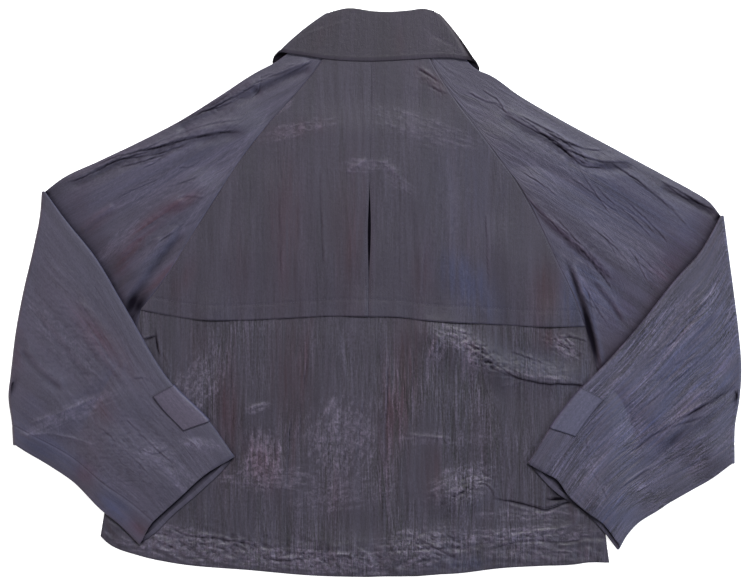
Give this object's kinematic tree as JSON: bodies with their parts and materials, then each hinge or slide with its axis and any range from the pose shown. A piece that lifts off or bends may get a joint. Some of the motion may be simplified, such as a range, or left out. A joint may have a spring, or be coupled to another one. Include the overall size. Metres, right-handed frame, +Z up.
{
  "type": "windbreaker",
  "caption": "Short boxy raglan windbreaker in light crinkled cloth, laid flat with its back up, a caped back, a fall collar, and both sleeves folded back over the body.",
  "frame": {"origin": "centre of the garment's outline on the surface that it lies on", "axes": "+X from the sleeve on the wearer's left to the one on the wearer's right, +Y from the hem to the collar, +Z up from the surface"},
  "size_m": [0.8777, 0.6821, 0.0112],
  "materials": {
    "body_cloth": "crinkled satin nylon, purple grey",
    "cape_cloth": "crinkled satin nylon, purple grey",
    "sleeve_cloth": "crinkled satin nylon, blue grey",
    "tab_cloth": "crinkled satin nylon, blue grey",
    "collar_cloth": "crinkled satin nylon, purple grey"
  },
  "bodies": {
    "root": {"back": "body_cloth", "cape_left": "cape_cloth", "cape_right": "cape_cloth", "front_left": "body_cloth", "front_right": "body_cloth", "sleeve_back_left": "sleeve_cloth", "sleeve_back_right": "sleeve_cloth", "sleeve_front_left": "sleeve_cloth", "sleeve_front_right": "sleeve_cloth", "sleeve_tab_left": "tab_cloth", "sleeve_tab_right": "tab_cloth", "collar_leaf": "collar_cloth", "collar_stand": "collar_cloth"}
  },
  "joints": []
}
